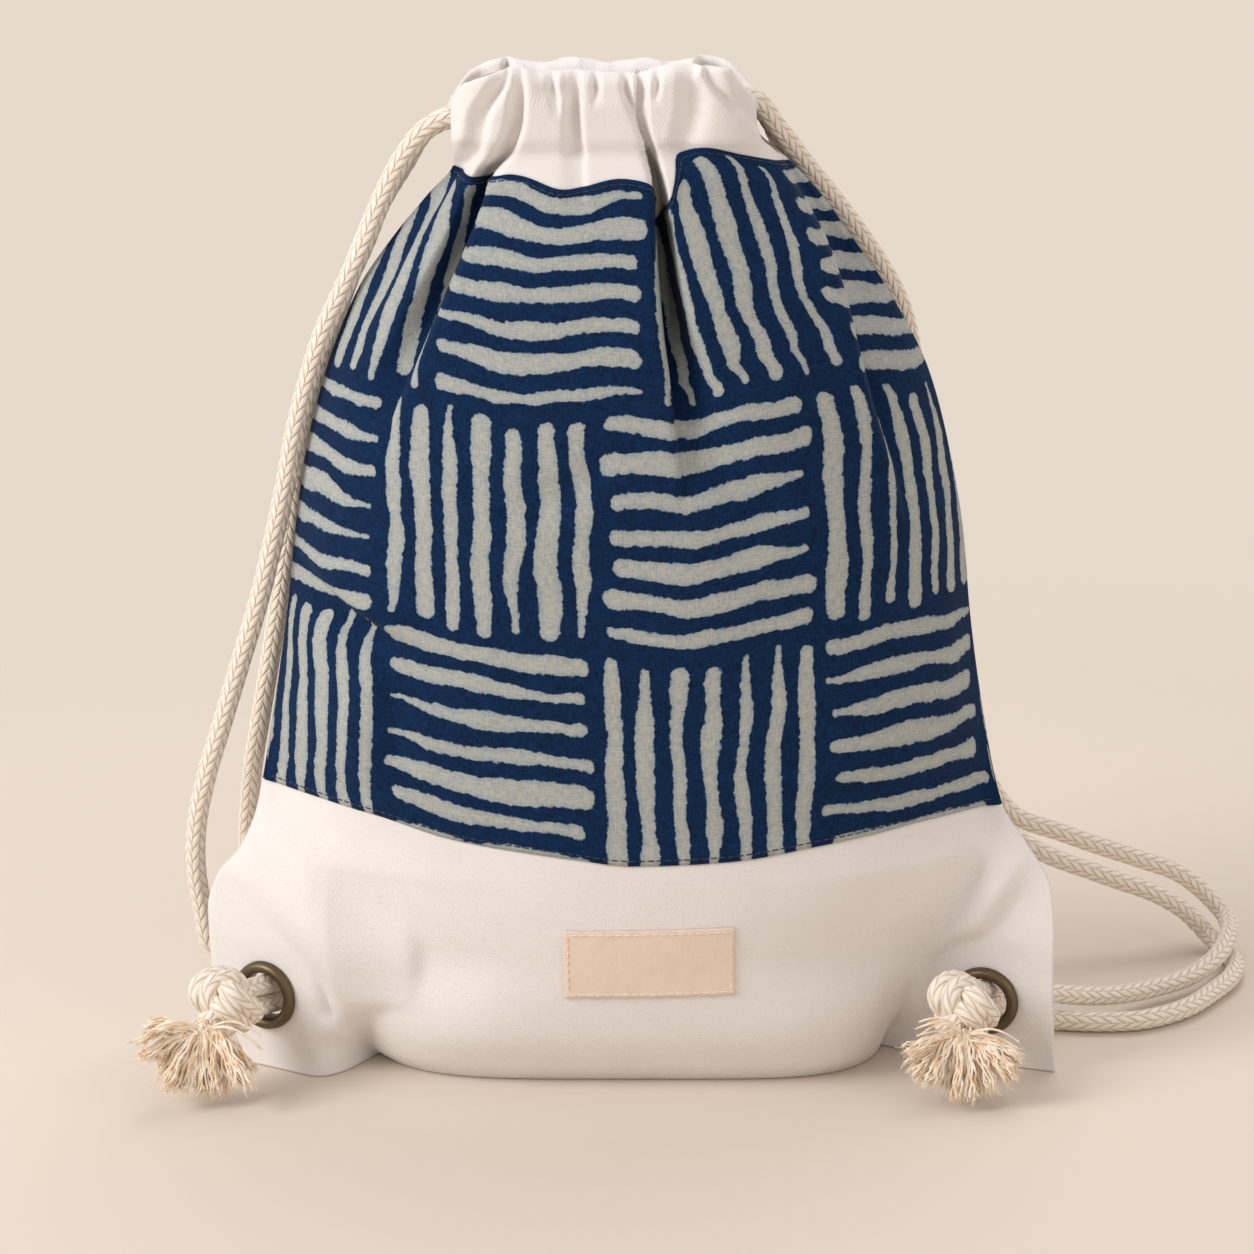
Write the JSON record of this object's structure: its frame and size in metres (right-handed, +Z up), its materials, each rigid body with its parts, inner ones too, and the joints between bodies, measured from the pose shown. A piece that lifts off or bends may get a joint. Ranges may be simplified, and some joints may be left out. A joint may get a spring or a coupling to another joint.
{
  "type": "drawstring backpack",
  "caption": "Gathered cotton drawstring backpack, stuffed full and standing, with a printed middle panel, corner eyelets and braided rope straps that end in knots and frayed tassels.",
  "frame": {"origin": "on the table, in the middle of the bag's width and depth without its ropes", "axes": "+Z up, front faces -Y, +X to the right of someone who faces the front"},
  "size_m": [0.4506, 0.224, 0.4023],
  "materials": {
    "white_cotton": "natural white cotton twill",
    "indigo_cotton": "indigo cotton with pale resist stripes",
    "label_cloth": "cream cotton tape",
    "antique_brass": "dark antique brass",
    "cotton_rope": "cream braided cotton",
    "frayed_cotton": "loose cotton fibres"
  },
  "bodies": {
    "root": {"front_top_band": "white_cotton", "back_top_band": "white_cotton", "front_print_panel": "indigo_cotton", "back_print_panel": "indigo_cotton", "front_base_panel": "white_cotton", "back_base_panel": "white_cotton", "label": "label_cloth", "left_eyelet_face": "antique_brass", "left_eyelet_washer": "antique_brass", "right_eyelet_face": "antique_brass", "right_eyelet_washer": "antique_brass", "left_rope": "cotton_rope", "right_rope": "cotton_rope", "left_knot": "cotton_rope", "right_knot": "cotton_rope", "left_tassel": "frayed_cotton", "right_tassel": "frayed_cotton"}
  },
  "joints": []
}
